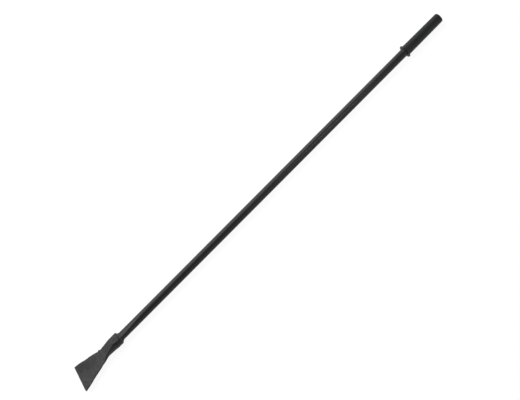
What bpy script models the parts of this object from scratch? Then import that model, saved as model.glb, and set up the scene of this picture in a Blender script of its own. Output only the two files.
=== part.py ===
"""Ice chopper: a forged fan-shaped blade, welded to a steel tube that ends in a moulded grip.

The tool lies flat with its blade level. X runs from the cutting edge to the end of the grip and
Z points up. The origin is on the surface that the tool lies on, under the middle of its box.
All sizes are in metres.
"""

import math

import bmesh
import bpy

# Whole tool
OVERALL_LENGTH = 1.483
SEAT_GAP = 0.0003  # between two pieces that touch
ROUND_SIDES = 48  # a multiple of four, so that a round piece has a flat facet underneath
ARC_STEPS = 4  # straight runs in each small rounding
NECK_STEPS = 8  # sections between the blade and the narrowest section
FLARE_STEPS = 10  # sections between there and the round socket
WELD_STEPS = 5  # straight runs across the weld's face
FADE_STEPS = 6  # sections where the tube's flat runs out
SMOOTH_ANGLE = math.radians(30)  # a sharper fold than this shows as an edge

# Shaft tube
TUBE_DIAMETER = 0.025
TUBE_WALL = 0.002

# Blade, flat on its back and bevelled on its front
EDGE_WIDTH = 0.0951
EDGE_THICKNESS = 0.0008
EDGE_CORNER_RADIUS = 0.003
BEVEL_LENGTH = 0.011
BLADE_THICKNESS = 0.0044
BLADE_LENGTH = 0.0892
BLADE_SIDE_SLOPE = 0.274  # half the width lost for each metre towards the neck
BLADE_SIDE_RADIUS = 0.001
BACK_OFFSET = 0.0057  # from the shaft's axis down to the flat back

# Neck, the narrowest section
NECK_LENGTH = 0.026  # from the end of the blade to the narrowest section
NECK_WIDTH = 0.0330
NECK_THICKNESS = 0.0139
NECK_BACK_OFFSET = 0.0052
NECK_RADIUS = 0.0020
NECK_SLOPE = 0.15  # how fast the front still rises at the narrowest section

# Socket, which the neck flares into. It and the tube in it are pressed flat on top, so that the
# head can't turn on the shaft, and the flat runs out along the tube.
FLARE_LENGTH = 0.032
SOCKET_LENGTH = 0.0211  # the round part
SOCKET_DEPTH = 0.022  # how far the tube goes in
SOCKET_WALL = 0.0066
SOCKET_RISE = 0.00175  # from the shaft's axis up to the middle of the socket's outside
SOCKET_FLAT_WALL = 0.0068  # between the flat in the bore and the flat on the outside
SOCKET_LIP_RADIUS = 0.0010
MOUTH_LEAN = 0.107  # how far the mouth leans towards the grip for each metre above the axis
FLAT_DEPTH = 0.0037  # how far the tube's top is pressed in
FLAT_FADE_LENGTH = 0.091  # over which the tube becomes round again beyond the weld

# Fillet weld between the socket's end and the tube
WELD_LENGTH = 0.0066  # along the tube
WELD_HEIGHT = 0.0034  # up the socket's end
WELD_HOLLOW = 0.0005  # how far the face dips below a straight one
WELD_TOE = 0.0005  # thickness left at both ends of the face

# Grip, moulded in one piece with its flange
GRIP_LENGTH = 0.140
GRIP_WALL_AT_FLANGE = 0.0032
GRIP_WALL_AT_END = 0.0022
GRIP_END_THICKNESS = 0.0055
GRIP_END_RADIUS = 0.0015
FLANGE_HEIGHT = 0.0042  # above the grip beside it
FLANGE_THICKNESS = 0.0021
FLANGE_RIM_RADIUS = 0.0009
FLANGE_FILLET_RADIUS = 0.0016

# What follows from those sizes
TUBE_RADIUS = TUBE_DIAMETER / 2
SEAT_RADIUS = TUBE_RADIUS + SEAT_GAP
SOCKET_RADIUS = SEAT_RADIUS + SOCKET_WALL
SOCKET_FLAT = SEAT_RADIUS - FLAT_DEPTH + SOCKET_FLAT_WALL  # height above the shaft's axis
NECK_POSITION = BLADE_LENGTH + NECK_LENGTH
SOCKET_POSITION = NECK_POSITION + FLARE_LENGTH
HEAD_LENGTH = SOCKET_POSITION + SOCKET_LENGTH
TUBE_START = HEAD_LENGTH - SOCKET_DEPTH + SEAT_GAP
FADE_START = HEAD_LENGTH + WELD_LENGTH + MOUTH_LEAN * SEAT_RADIUS
TUBE_END = OVERALL_LENGTH - GRIP_END_THICKNESS - SEAT_GAP
GRIP_START = OVERALL_LENGTH - GRIP_LENGTH
GRIP_RADIUS = TUBE_RADIUS + GRIP_WALL_AT_FLANGE
GRIP_END_OUTER_RADIUS = TUBE_RADIUS + GRIP_WALL_AT_END
FLANGE_RADIUS = GRIP_RADIUS + FLANGE_HEIGHT
FACET_SHARE = math.cos(math.pi / ROUND_SIDES)  # a facet's distance from the axis, by the radius
AXIS_HEIGHT = max(FLANGE_RADIUS * FACET_SHARE, SOCKET_RADIUS * FACET_SHARE - SOCKET_RISE)


def clear_scene():
    for obj in list(bpy.data.objects):
        bpy.data.objects.remove(obj, do_unlink=True)


def make_material(name, grey, roughness, metallic):
    """A neutral finish; grey is its linear reflectance."""
    material = bpy.data.materials.new(name)
    material.use_nodes = True
    shader = material.node_tree.nodes["Principled BSDF"]
    shader.inputs["Base Color"].default_value = (grey, grey, grey, 1.0)
    shader.inputs["Roughness"].default_value = roughness
    shader.inputs["Metallic"].default_value = metallic
    return material


def finish_object(name, bm, material, parent, position):
    """Turns the mesh into an object that sits at its place along the tool."""
    bmesh.ops.recalc_face_normals(bm, faces=bm.faces)
    mesh = bpy.data.meshes.new(name)
    bm.to_mesh(mesh)
    bm.free()
    mesh.shade_smooth()
    mesh.set_sharp_from_angle(angle=SMOOTH_ANGLE)
    mesh.materials.append(material)
    obj = bpy.data.objects.new(name, mesh)
    obj.location.x = position
    obj.parent = parent
    bpy.context.scene.collection.objects.link(obj)
    return obj


def arc(centre_x, centre_radius, radius, start, end):
    """Points of a rounding in a turned outline, between two angles in degrees from the X axis."""
    turns = [start + (end - start) * step / ARC_STEPS for step in range(ARC_STEPS + 1)]
    angles = [math.radians(turn) for turn in turns]
    return [(centre_x + radius * math.cos(a), centre_radius + radius * math.sin(a)) for a in angles]


def turned(outline):
    """A solid turned about the X axis. The outline is a line of (x, radius) points that starts
    and ends on the axis."""
    bm = bmesh.new()
    first = math.pi / ROUND_SIDES
    verts = [bm.verts.new((x, r * math.cos(first), r * math.sin(first))) for x, r in outline]
    edges = [bm.edges.new(pair) for pair in zip(verts, verts[1:])]
    bmesh.ops.spin(
        bm,
        geom=verts + edges,
        cent=(0, 0, 0),
        axis=(1, 0, 0),
        angle=2 * math.pi,
        steps=ROUND_SIDES,
        use_merge=True,
    )
    bmesh.ops.remove_doubles(bm, verts=bm.verts, dist=1e-6)
    return bm


def section(x, half_width, back, front, radius, flat=math.inf):
    """A rounded rectangle across the tool, which is a circle where the radius fills it. What
    would stand above the flat is pressed down to it."""
    half_height = (front - back) / 2
    middle = (front + back) / 2
    radius = min(radius, half_width, half_height)
    points = []
    for side in range(ROUND_SIDES):
        angle = (side + 0.5) * 2 * math.pi / ROUND_SIDES
        across, up = math.cos(angle), math.sin(angle)
        y = math.copysign(half_width - radius, across) + radius * across
        z = math.copysign(half_height - radius, up) + radius * up
        points.append((x, y, min(middle + z, flat)))
    return points


def lofted(sections, ring_shaped):
    """A closed solid through sections that all have the same number of points. It has a face at
    each end, or as a ring its last section joins its first."""
    bm = bmesh.new()
    rings = [[bm.verts.new(point) for point in points] for points in sections]
    following = rings[1:] + rings[:1] if ring_shaped else rings[1:]
    for ring, next_ring in zip(rings, following):
        for i in range(ROUND_SIDES):
            j = (i + 1) % ROUND_SIDES
            bm.faces.new((ring[i], ring[j], next_ring[j], next_ring[i]))
    if not ring_shaped:
        bm.faces.new(rings[0])
        bm.faces.new(rings[-1])
    return bm


def ease(start, start_slope, end, end_slope, length, share):
    """A cubic curve from start to end over a length, with the given slope at each end."""
    square, cube = share**2, share**3
    from_ends = start * (2 * cube - 3 * square + 1) + end * (3 * square - 2 * cube)
    from_slopes = start_slope * (cube - 2 * square + share) + end_slope * (cube - square)
    return from_ends + length * from_slopes


def blade_section(x):
    """The flat fan of the blade. Its front slopes down to the cutting edge over the bevel."""
    half_width = EDGE_WIDTH / 2 - BLADE_SIDE_SLOPE * x
    if x < EDGE_CORNER_RADIUS:
        from_centre = EDGE_CORNER_RADIUS - x
        half_width -= EDGE_CORNER_RADIUS - math.sqrt(EDGE_CORNER_RADIUS**2 - from_centre**2)
    bevel_share = min(x / BEVEL_LENGTH, 1.0)
    thickness = EDGE_THICKNESS + (BLADE_THICKNESS - EDGE_THICKNESS) * bevel_share
    return section(x, half_width, -BACK_OFFSET, thickness - BACK_OFFSET, BLADE_SIDE_RADIUS)


def neck_section(share):
    """Between the end of the blade, at share 0, and the narrowest section, at share 1."""
    root_half_width = EDGE_WIDTH / 2 - BLADE_SIDE_SLOPE * BLADE_LENGTH
    half_width = ease(root_half_width, -BLADE_SIDE_SLOPE, NECK_WIDTH / 2, 0, NECK_LENGTH, share)
    back = ease(-BACK_OFFSET, 0, -NECK_BACK_OFFSET, 0, NECK_LENGTH, share)
    thickness = ease(BLADE_THICKNESS, 0, NECK_THICKNESS, NECK_SLOPE, NECK_LENGTH, share)
    radius = ease(BLADE_SIDE_RADIUS, 0, NECK_RADIUS, 0, NECK_LENGTH, share)
    x = BLADE_LENGTH + NECK_LENGTH * share
    return section(x, half_width, back, back + thickness, radius)


def flare_section(share):
    """Between the narrowest section, at share 0, and the round socket, at share 1. The sides and
    the back become round, and the front stays flat and rises to the flat on the socket."""
    neck_front = NECK_THICKNESS - NECK_BACK_OFFSET
    round_back = SOCKET_RISE - SOCKET_RADIUS
    round_front = SOCKET_RISE + SOCKET_RADIUS
    half_width = ease(NECK_WIDTH / 2, 0, SOCKET_RADIUS, 0, FLARE_LENGTH, share)
    back = ease(-NECK_BACK_OFFSET, 0, round_back, 0, FLARE_LENGTH, share)
    front = ease(neck_front, NECK_SLOPE, round_front, 0, FLARE_LENGTH, share)
    radius = ease(NECK_RADIUS, 0, SOCKET_RADIUS, 0, FLARE_LENGTH, share)
    flat = ease(neck_front, NECK_SLOPE, SOCKET_FLAT, 0, FLARE_LENGTH, share)
    return section(NECK_POSITION + FLARE_LENGTH * share, half_width, back, front, radius, flat)


def socket_section(x, inset):
    """The outside of the socket, or as far inside it as the inset says."""
    radius = SOCKET_RADIUS - inset
    flat = SOCKET_FLAT - inset
    return section(x, radius, SOCKET_RISE - radius, SOCKET_RISE + radius, radius, flat)


def pressed_section(x, radius, depth):
    """A circle about the shaft's axis whose top is pressed in by the depth."""
    return section(x, radius, -radius, radius, radius, radius - depth)


def leaning(points):
    """The same section, leant as the socket's mouth is."""
    return [(x + MOUTH_LEAN * z, y, z) for x, y, z in points]


def make_blade_head(material, parent):
    """The forging, from the cutting edge to the socket, and then down the inside of the bore."""
    corner_steps = [1 - math.cos(math.pi / 2 * i / ARC_STEPS) for i in range(ARC_STEPS + 1)]
    blade_positions = [EDGE_CORNER_RADIUS * step for step in corner_steps] + [BEVEL_LENGTH]
    lip = arc(HEAD_LENGTH - SOCKET_LIP_RADIUS, 0, SOCKET_LIP_RADIUS, 90, 0)
    sections = [blade_section(x) for x in sorted(blade_positions)]
    sections += [neck_section(step / NECK_STEPS) for step in range(NECK_STEPS + 1)]
    sections += [flare_section((step + 1) / FLARE_STEPS) for step in range(FLARE_STEPS)]
    sections += [leaning(socket_section(x, SOCKET_LIP_RADIUS - rise)) for x, rise in lip]
    sections.append(leaning(pressed_section(HEAD_LENGTH, SEAT_RADIUS, FLAT_DEPTH)))
    sections.append(pressed_section(HEAD_LENGTH - SOCKET_DEPTH, SEAT_RADIUS, FLAT_DEPTH))
    return finish_object("blade_head", lofted(sections, False), material, parent, 0)


def make_shaft_tube(material, parent):
    """The tube, seated in the socket at one end and in the grip at the other. Its pressed flat is
    even in the socket and under the weld, and runs out beyond them."""
    inner = TUBE_RADIUS - TUBE_WALL
    stations = [(TUBE_START, FLAT_DEPTH)]
    for step in range(FADE_STEPS + 1):
        share = step / FADE_STEPS
        stations.append((FADE_START + FLAT_FADE_LENGTH * share, FLAT_DEPTH * (1 - share)))
    stations.append((TUBE_END, 0))
    sections = [pressed_section(x - TUBE_START, TUBE_RADIUS, depth) for x, depth in stations]
    sections += [pressed_section(x - TUBE_START, inner, depth) for x, depth in reversed(stations)]
    return finish_object("shaft_tube", lofted(sections, True), material, parent, TUBE_START)


def make_socket_weld(material, parent):
    """The weld's ring, which follows the pressed tube and the leaning mouth. Its hollow face runs
    from the socket's end down to the tube."""
    length = WELD_LENGTH - SEAT_GAP
    top = SEAT_RADIUS + WELD_HEIGHT
    bottom = SEAT_RADIUS + WELD_TOE
    outline = [(0, SEAT_RADIUS), (0, top)]
    for step in range(WELD_STEPS + 1):
        share = step / WELD_STEPS
        dip = WELD_HOLLOW * math.sin(math.pi * share)
        x = WELD_TOE + (length - WELD_TOE) * share
        outline.append((x, top + (bottom - top) * share - dip))
    outline.append((length, SEAT_RADIUS))
    sections = [leaning(pressed_section(x, radius, FLAT_DEPTH)) for x, radius in outline]
    position = HEAD_LENGTH + SEAT_GAP
    return finish_object("socket_weld", lofted(sections, True), material, parent, position)


def make_hand_grip(material, parent):
    """The sleeve: from the closed end's inner face, out round the flange and back to the axis."""
    depth = GRIP_LENGTH - GRIP_END_THICKNESS
    rim = FLANGE_RADIUS - FLANGE_RIM_RADIUS
    fillet_x = FLANGE_THICKNESS + FLANGE_FILLET_RADIUS
    fillet_centre = GRIP_RADIUS + FLANGE_FILLET_RADIUS
    end_centre = (GRIP_LENGTH - GRIP_END_RADIUS, GRIP_END_OUTER_RADIUS - GRIP_END_RADIUS)
    outline = [(depth, 0), (depth, SEAT_RADIUS), (0, SEAT_RADIUS)]
    outline += arc(FLANGE_RIM_RADIUS, rim, FLANGE_RIM_RADIUS, 180, 90)
    outline += arc(FLANGE_THICKNESS - FLANGE_RIM_RADIUS, rim, FLANGE_RIM_RADIUS, 90, 0)
    outline += arc(fillet_x, fillet_centre, FLANGE_FILLET_RADIUS, 180, 270)
    outline += arc(*end_centre, GRIP_END_RADIUS, 90, 0)
    outline.append((GRIP_LENGTH, 0))
    return finish_object("hand_grip", turned(outline), material, parent, GRIP_START)


def main():
    clear_scene()
    tool = bpy.data.objects.new("ice_chopper", None)
    tool.location = (-OVERALL_LENGTH / 2, 0, AXIS_HEIGHT)
    bpy.context.scene.collection.objects.link(tool)

    forged_paint = make_material("black_paint_on_forging", 0.045, 0.55, 0.0)
    tube_paint = make_material("black_paint_on_tube", 0.045, 0.45, 0.0)
    weld_paint = make_material("black_paint_on_weld", 0.040, 0.50, 0.0)
    moulded_pvc = make_material("black_moulded_pvc", 0.028, 0.65, 0.0)

    make_blade_head(forged_paint, tool)
    make_socket_weld(weld_paint, tool)
    make_shaft_tube(tube_paint, tool)
    make_hand_grip(moulded_pvc, tool)


main()
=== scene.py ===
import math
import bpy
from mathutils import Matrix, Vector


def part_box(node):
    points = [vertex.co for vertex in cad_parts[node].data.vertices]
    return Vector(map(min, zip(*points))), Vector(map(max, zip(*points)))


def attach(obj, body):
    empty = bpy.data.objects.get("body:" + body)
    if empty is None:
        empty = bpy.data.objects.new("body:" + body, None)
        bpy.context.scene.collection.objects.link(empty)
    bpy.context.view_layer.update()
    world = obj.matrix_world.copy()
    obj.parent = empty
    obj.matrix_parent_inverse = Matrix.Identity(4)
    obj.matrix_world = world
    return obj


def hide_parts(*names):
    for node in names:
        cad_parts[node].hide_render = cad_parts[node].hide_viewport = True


bl_info = {
    "name": "Ice Chopper",
    "version": (1, 0, 0),
    "blender": (4, 5, 0),
    "location": "View3D > Sidebar > Ice Chopper",
    "description": "Builds a forged ice chopper piece by piece, and the stage it is shown on",
    "category": "Object",
}

import bmesh
import bpy
from bpy.props import FloatProperty
from bpy.props import FloatVectorProperty
from bpy.props import IntProperty
from bpy.props import PointerProperty
from mathutils import Matrix
from mathutils import Vector
from mathutils import noise

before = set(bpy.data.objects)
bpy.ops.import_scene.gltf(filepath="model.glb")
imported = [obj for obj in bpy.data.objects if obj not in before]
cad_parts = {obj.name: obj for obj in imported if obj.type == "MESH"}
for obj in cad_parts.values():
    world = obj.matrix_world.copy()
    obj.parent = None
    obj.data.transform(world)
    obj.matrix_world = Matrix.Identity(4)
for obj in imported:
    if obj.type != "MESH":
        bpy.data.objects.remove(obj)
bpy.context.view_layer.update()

MM = 0.001
BODY = "root"
IMAGE_WIDTH = 520  # pixels
SENSOR_WIDTH = 36.0  # millimetres

HEAD_LOW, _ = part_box("blade_head")
TUBE_LOW, TUBE_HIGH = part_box("shaft_tube")
WELD_LOW, WELD_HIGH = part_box("socket_weld")
GRIP_LOW, GRIP_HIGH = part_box("hand_grip")
EDGE_X = HEAD_LOW.x  # the cutting edge; lengths along the tool are counted from here
AXIS_HEIGHT = (TUBE_LOW.z + TUBE_HIGH.z) / 2
FACET_LOSS = math.cos(math.pi / 48)  # the frame's round pieces have 48 flat sides
TUBE_RADIUS = (TUBE_HIGH.z - TUBE_LOW.z) / 2 / FACET_LOSS
SEAT_GAP = 0.3 * MM  # between two pieces that touch
SEAT_RADIUS = TUBE_RADIUS + SEAT_GAP
FLAT_DEPTH = 3.7 * MM  # how far the tube's top is pressed in, in the socket and under the weld
FLAT_FADE = 91 * MM  # over which the tube becomes round again beyond the weld
FLAT_SOFTNESS = 0.35  # share of that depth over which the flat's edges are rounded
MOUTH_LEAN = 0.107  # how far the socket's mouth leans towards the grip for each metre up
SEAM_DISTANCE = 0.002 * MM  # points of a seam that lie closer than this become one
SHARP_ANGLE = 40  # degrees from which an edge shows as sharp
WELD_SHARP_ANGLE = 50


def linear(hex_colour):
    """Turns an sRGB hex value into a linear colour."""
    channels = [int(hex_colour[i : i + 2], 16) / 255 for i in (1, 3, 5)]
    return [c / 12.92 if c <= 0.04045 else ((c + 0.055) / 1.055) ** 2.4 for c in channels]


def length(name, description, default):
    """A property that holds a length in metres."""
    return FloatProperty(
        name=name,
        description=description,
        default=default,
        subtype="DISTANCE",
        unit="LENGTH",
        precision=5,
    )


def colour(name, description, hex_colour):
    """A property that holds a colour."""
    return FloatVectorProperty(
        name=name,
        description=description,
        default=linear(hex_colour),
        subtype="COLOR",
        size=3,
        min=0.0,
        max=1.0,
    )


class ForgedHeadSettings(bpy.types.PropertyGroup):
    """Sizes and paint of the blade, neck and socket"""

    edge_width: length("Edge width", "Width of the blade at its cutting edge", 95.1 * MM)
    edge_thickness: length("Edge thickness", "Thickness left at the cutting edge", 0.8 * MM)
    edge_corner: length("Edge corner", "Radius of the two corners of the cutting edge", 3 * MM)
    bevel: length("Bevel", "How far the front slopes back from the cutting edge", 11 * MM)
    blade_length: length("Blade length", "From the cutting edge to where the neck starts", 89.2 * MM)
    blade_thickness: length("Blade thickness", "Thickness of the flat fan", 4.4 * MM)
    neck_length: length("Neck length", "From the blade to the narrowest section", 26 * MM)
    neck_width: length("Neck width", "Width of the narrowest section", 33 * MM)
    neck_thickness: length("Neck thickness", "Thickness of the narrowest section", 13.9 * MM)
    flare_length: length("Flare length", "From the narrowest section to the round socket", 32 * MM)
    socket_length: length("Socket length", "Length of the round part of the socket", 21.1 * MM)
    socket_wall: length("Socket wall", "Wall of the socket beside the tube", 6.6 * MM)
    socket_rise: length("Socket rise", "From the shaft's axis up to the socket's middle", 1.75 * MM)
    flat_wall: length("Flat wall", "Wall between the flats in and on the socket", 6.8 * MM)
    socket_depth: length("Socket depth", "How far the tube goes into the socket", 22 * MM)
    unevenness: length("Unevenness", "How far the forged skin wanders from a smooth one", 0.22 * MM)
    paint: colour("Paint", "Black paint on the forging", "#282829")
    worn_paint: colour("Worn paint", "Thin, rubbed paint on the sharp edges", "#4a4b4c")


class WeldSettings(bpy.types.PropertyGroup):
    """Sizes and paint of the weld round the socket's mouth"""

    tube_leg: length("Leg on the tube", "How far the bead reaches along the tube", 6.3 * MM)
    socket_leg: length("Leg on the socket", "How far the bead reaches up the socket's end", 3.4 * MM)
    hollow: length("Hollow", "How far the bead's face dips below a straight one", 0.5 * MM)
    ripple_height: length("Ripple height", "Height of one ripple of the bead", 0.15 * MM)
    ripples: IntProperty(
        name="Ripples",
        description="How many ripples the bead has round the tube",
        default=44,
        min=8,
    )
    # Lighter than the coat on the head and tube: painted light on the bead's lit side
    paint: colour("Paint", "Black paint on the weld", "#404143")


class TubeSettings(bpy.types.PropertyGroup):
    """Wall, fineness and paint of the tube"""

    wall: length("Wall", "Thickness of the tube's wall", 2 * MM)
    around: IntProperty(
        name="Sides",
        description="How many faces the tube has round its axis",
        default=144,
        min=24,
    )
    paint: colour("Paint", "Black paint on the tube", "#2e2e2f")


class GripSettings(bpy.types.PropertyGroup):
    """Sizes and colour of the moulded grip"""

    wall_at_flange: length("Wall at the flange", "Wall of the sleeve beside the flange", 3.2 * MM)
    wall_at_end: length("Wall at the end", "Wall of the sleeve at its closed end", 2.2 * MM)
    end_thickness: length("End thickness", "Thickness of the closed end", 5.5 * MM)
    end_rounding: length("End rounding", "Radius of the closed end's edge", 1.5 * MM)
    flange_height: length("Flange height", "Height of the flange above the sleeve", 4.2 * MM)
    flange_thickness: length("Flange thickness", "Thickness of the flange", 2.1 * MM)
    flange_rounding: length("Flange rounding", "Radius of the flange's rim", 0.9 * MM)
    flange_fillet: length("Flange fillet", "Radius between the flange and the sleeve", 1.6 * MM)
    vinyl: colour("Vinyl", "Black of the moulded sleeve", "#2b2c2c")


class StageSettings(bpy.types.PropertyGroup):
    """The camera, the main lamp and the floor"""

    camera_turn: FloatProperty(
        name="Camera turn",
        description="How far the camera leans from straight above the blade, round the shaft",
        default=math.radians(37.5),
        subtype="ANGLE",
    )
    camera_roll: FloatProperty(
        name="Camera roll",
        description="Slant of the shaft in the picture",
        default=math.radians(45.12),
        subtype="ANGLE",
    )
    camera_distance: length("Camera distance", "From the shaft's axis to the camera", 1.63)
    focal_pixels: FloatProperty(
        name="Focal length",
        description="Focal length of the camera, in pixels of a picture 520 wide",
        default=560.7,
    )
    aim_along: length("Aim along the shaft", "Where the middle of the picture lies", 740.5 * MM)
    aim_below: length("Aim below the shaft", "How far that point lies off the axis", 5.9 * MM)
    key_level: FloatProperty(
        name="Key level",
        description="Brightness that the main lamp gives a white surface facing it",
        default=1.91,
    )
    floor: colour("Floor", "Pale floor", "#cdcdcd")


# A Mix node's share is its input 0, its two numbers are inputs 2 and 3, and its colours 6 and 7.
MATH = "ShaderNodeMath"
RANGE = "ShaderNodeMapRange"
MIX = "ShaderNodeMix"


def add_node(tree, kind, inputs=None, **settings):
    """Adds a node, sets what it has, and fills its inputs by name or place.

    An input takes a value, a socket, or a node, whose first output in use is then linked.
    """
    node = tree.nodes.new(kind)
    node.location.x = 190 * len(tree.nodes)
    for name, value in settings.items():
        setattr(node, name, value)
    for key, value in (inputs or {}).items():
        if isinstance(value, bpy.types.Node):
            value = next(output for output in value.outputs if output.enabled)
        if isinstance(value, bpy.types.NodeSocket):
            tree.links.new(value, node.inputs[key])
        else:
            node.inputs[key].default_value = value
    return node


def new_material(name):
    """A material whose node tree is still empty, and that tree."""
    material = bpy.data.materials.new(name)
    material.use_nodes = True
    material.node_tree.nodes.clear()
    return material, material.node_tree


def finish_material(tree, inputs):
    """Gives a material its shader, with the given inputs, and its output."""
    shader = add_node(tree, "ShaderNodeBsdfPrincipled", inputs)
    add_node(tree, "ShaderNodeOutputMaterial", {"Surface": shader})


def rgba(values):
    """A colour without transparency, as a socket takes it."""
    return (*values, 1.0)


def shade(values, factor):
    """The same colour, lighter or darker."""
    return rgba([value * factor for value in values])


def pattern(tree, size, detail, seed):
    """Noise with patches about size metres across. It lies mostly between 0.3 and 0.7."""
    place = add_node(tree, "ShaderNodeTexCoord").outputs["Object"]
    inputs = {"Vector": place, "Location": (seed, 2 * seed, 3 * seed)}
    moved = add_node(tree, "ShaderNodeMapping", inputs)
    inputs = {"Vector": moved, "Scale": 1 / size, "Detail": detail}
    return add_node(tree, "ShaderNodeTexNoise", inputs)


def patchy_colour(tree, patches, paint, darkest, lightest):
    """The paint's colour, times the first factor in some patches and the last in others."""
    share = add_node(tree, RANGE, {"Value": patches, "From Min": 0.35, "From Max": 0.65})
    inputs = {0: share, 6: shade(paint, darkest), 7: shade(paint, lightest)}
    return add_node(tree, MIX, inputs, data_type="RGBA")


def patchy_roughness(tree, patches, mattest, glossiest):
    """Roughness that goes from the first value to the second with the patches."""
    inputs = {
        "Value": patches,
        "From Min": 0.3,
        "From Max": 0.7,
        "To Min": mattest,
        "To Max": glossiest,
    }
    return add_node(tree, RANGE, inputs)


PAINT_GLOSS = 0.20  # specular level of the black coat
VINYL_GLOSS = 0.19  # the same for the grip


def painted_forging(settings):
    """Black powder coat on a drop forging: matt, with the scale of the forging under it."""
    material, tree = new_material("black_paint_on_forged_steel")
    # The coat is thicker and thinner in areas about 26 mm across.
    patches = pattern(tree, 26 * MM, 3.0, 4.1)
    # Scale that came off the hot steel left marks of 3 to 4 mm.
    specks = pattern(tree, 3.6 * MM, 3.0, 7.3)
    paint = patchy_colour(tree, patches, settings.paint, 0.86, 1.14)

    wear = add_node(tree, "ShaderNodeAttribute", attribute_name="edge_wear").outputs["Fac"]
    inputs = {"Value": specks, "From Min": 0.3, "From Max": 0.6, "To Min": 0.3, "To Max": 1.0}
    broken = add_node(tree, RANGE, inputs)
    rubbed = add_node(tree, MATH, {0: wear, 1: broken}, operation="MULTIPLY")
    inputs = {0: rubbed, 6: paint, 7: rgba(settings.worn_paint)}
    paint = add_node(tree, MIX, inputs, data_type="RGBA")

    # Areas of the front painted lighter and glossier or darker, among them a painted highlight on
    # the bevel by the cutting edge
    tone = add_node(tree, "ShaderNodeAttribute", attribute_name="painted_light_and_tone").outputs["Fac"]
    inputs = {"Value": tone, "From Min": -0.5, "From Max": 0.5, "To Min": 0.0, "To Max": 2.0}
    lighter = add_node(tree, RANGE, inputs)
    inputs = {"Value": specks, "From Min": 0.32, "From Max": 0.68, "To Min": 0.5, "To Max": 1.5}
    mottle = add_node(tree, RANGE, inputs)
    lighter = add_node(tree, MATH, {0: lighter, 1: mottle}, operation="MULTIPLY")
    paint = add_node(tree, "ShaderNodeVectorMath", {0: paint, "Scale": lighter}, operation="SCALE")

    matt = patchy_roughness(tree, patches, 0.42, 0.32)
    matt = add_node(tree, MATH, {0: tone, 1: -0.5, 2: matt}, operation="MULTIPLY_ADD")
    inputs = {"Value": specks, "From Min": 0.32, "From Max": 0.68, "To Min": 0.06, "To Max": -0.06}
    dull_specks = add_node(tree, RANGE, inputs)
    matt = add_node(tree, MATH, {0: matt, 1: dull_specks}, operation="ADD")

    # Under the paint the forged skin has dents 4 to 5 mm across.
    inputs = {"Height": pattern(tree, 4.5 * MM, 3.0, 1.7), "Distance": 0.10 * MM}
    dents = add_node(tree, "ShaderNodeBump", inputs)
    # The grain of the powder is about 0.4 mm; it is drawn at 1.2 mm so that it shows.
    inputs = {"Height": pattern(tree, 1.2 * MM, 2.0, 9.2), "Distance": 0.025 * MM, "Normal": dents}
    grain = add_node(tree, "ShaderNodeBump", inputs)
    inputs = {
        "Base Color": paint,
        "Roughness": matt,
        "Specular IOR Level": PAINT_GLOSS,
        "Normal": grain,
    }
    finish_material(tree, inputs)
    return material


def painted_tube(settings):
    """Black powder coat on cold-drawn tube: smoother, with a faint orange peel."""
    material, tree = new_material("black_paint_on_drawn_tube")
    # The coat's thickness varies over about 60 mm, and its gloss over about 9 mm.
    thickness = pattern(tree, 60 * MM, 2.0, 2.6)
    gloss = pattern(tree, 9 * MM, 3.0, 5.5)
    # Orange peel is about 0.8 mm across; it is drawn at 1.5 mm so that it shows.
    inputs = {"Height": pattern(tree, 1.5 * MM, 1.0, 3.3), "Distance": 0.006 * MM}
    inputs = {
        "Base Color": patchy_colour(tree, thickness, settings.paint, 0.93, 1.07),
        "Roughness": patchy_roughness(tree, gloss, 0.30, 0.25),
        "Specular IOR Level": PAINT_GLOSS,
        "Normal": add_node(tree, "ShaderNodeBump", inputs),
    }
    finish_material(tree, inputs)
    return material


def painted_weld(settings):
    """The same coat over a hand-laid bead, thicker and thinner from ripple to ripple, and lighter,
    as painted light on the bead's lit side.
    """
    material, tree = new_material("black_paint_and_painted_light_on_weld_bead")
    # The coat varies over 2.5 mm, a little more than one ripple of the bead.
    specks = pattern(tree, 2.5 * MM, 2.0, 6.4)
    # The grain of the powder is about 0.4 mm; it is drawn at 1 mm so that it shows.
    inputs = {"Height": pattern(tree, 1.0 * MM, 2.0, 8.8), "Distance": 0.02 * MM}
    inputs = {
        "Base Color": patchy_colour(tree, specks, settings.paint, 0.85, 1.2),
        "Roughness": patchy_roughness(tree, specks, 0.44, 0.34),
        "Specular IOR Level": PAINT_GLOSS,
        "Normal": add_node(tree, "ShaderNodeBump", inputs),
    }
    finish_material(tree, inputs)
    return material


def moulded_vinyl(settings):
    """Black soft vinyl, moulded: dull, slightly grained by the mould's blasted wall."""
    material, tree = new_material("black_moulded_vinyl")
    # The black varies over about 30 mm, and handling has dulled it in spots of about 6 mm.
    streaks = pattern(tree, 30 * MM, 2.0, 3.9)
    spots = pattern(tree, 6 * MM, 2.0, 6.1)
    # The blasted grain is about 0.2 mm; it is drawn at 0.9 mm so that it shows.
    inputs = {"Height": pattern(tree, 0.9 * MM, 2.0, 2.2), "Distance": 0.01 * MM}
    inputs = {
        "Base Color": patchy_colour(tree, streaks, settings.vinyl, 0.92, 1.08),
        "Roughness": patchy_roughness(tree, spots, 0.46, 0.38),
        "Specular IOR Level": VINYL_GLOSS,
        "Normal": add_node(tree, "ShaderNodeBump", inputs),
    }
    finish_material(tree, inputs)
    return material


def finish_piece(mesh, name, material, sharp_angle):
    """Makes the object for a finished mesh and hangs it under the body's empty."""
    mesh.name = name
    mesh.materials.clear()
    mesh.materials.append(material)
    mesh.shade_smooth()
    mesh.set_sharp_from_angle(angle=math.radians(sharp_angle))
    piece = bpy.data.objects.new(name, mesh)
    bpy.context.scene.collection.objects.link(piece)
    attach(piece, BODY)
    return piece


def ease(start, start_slope, end, end_slope, run, share):
    """A cubic curve from start to end over a run, with the given slope at each end."""
    square, cube = share**2, share**3
    from_ends = start * (2 * cube - 3 * square + 1) + end * (3 * square - 2 * cube)
    from_slopes = start_slope * (cube - 2 * square + share) + end_slope * (cube - square)
    return from_ends + run * from_slopes


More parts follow.
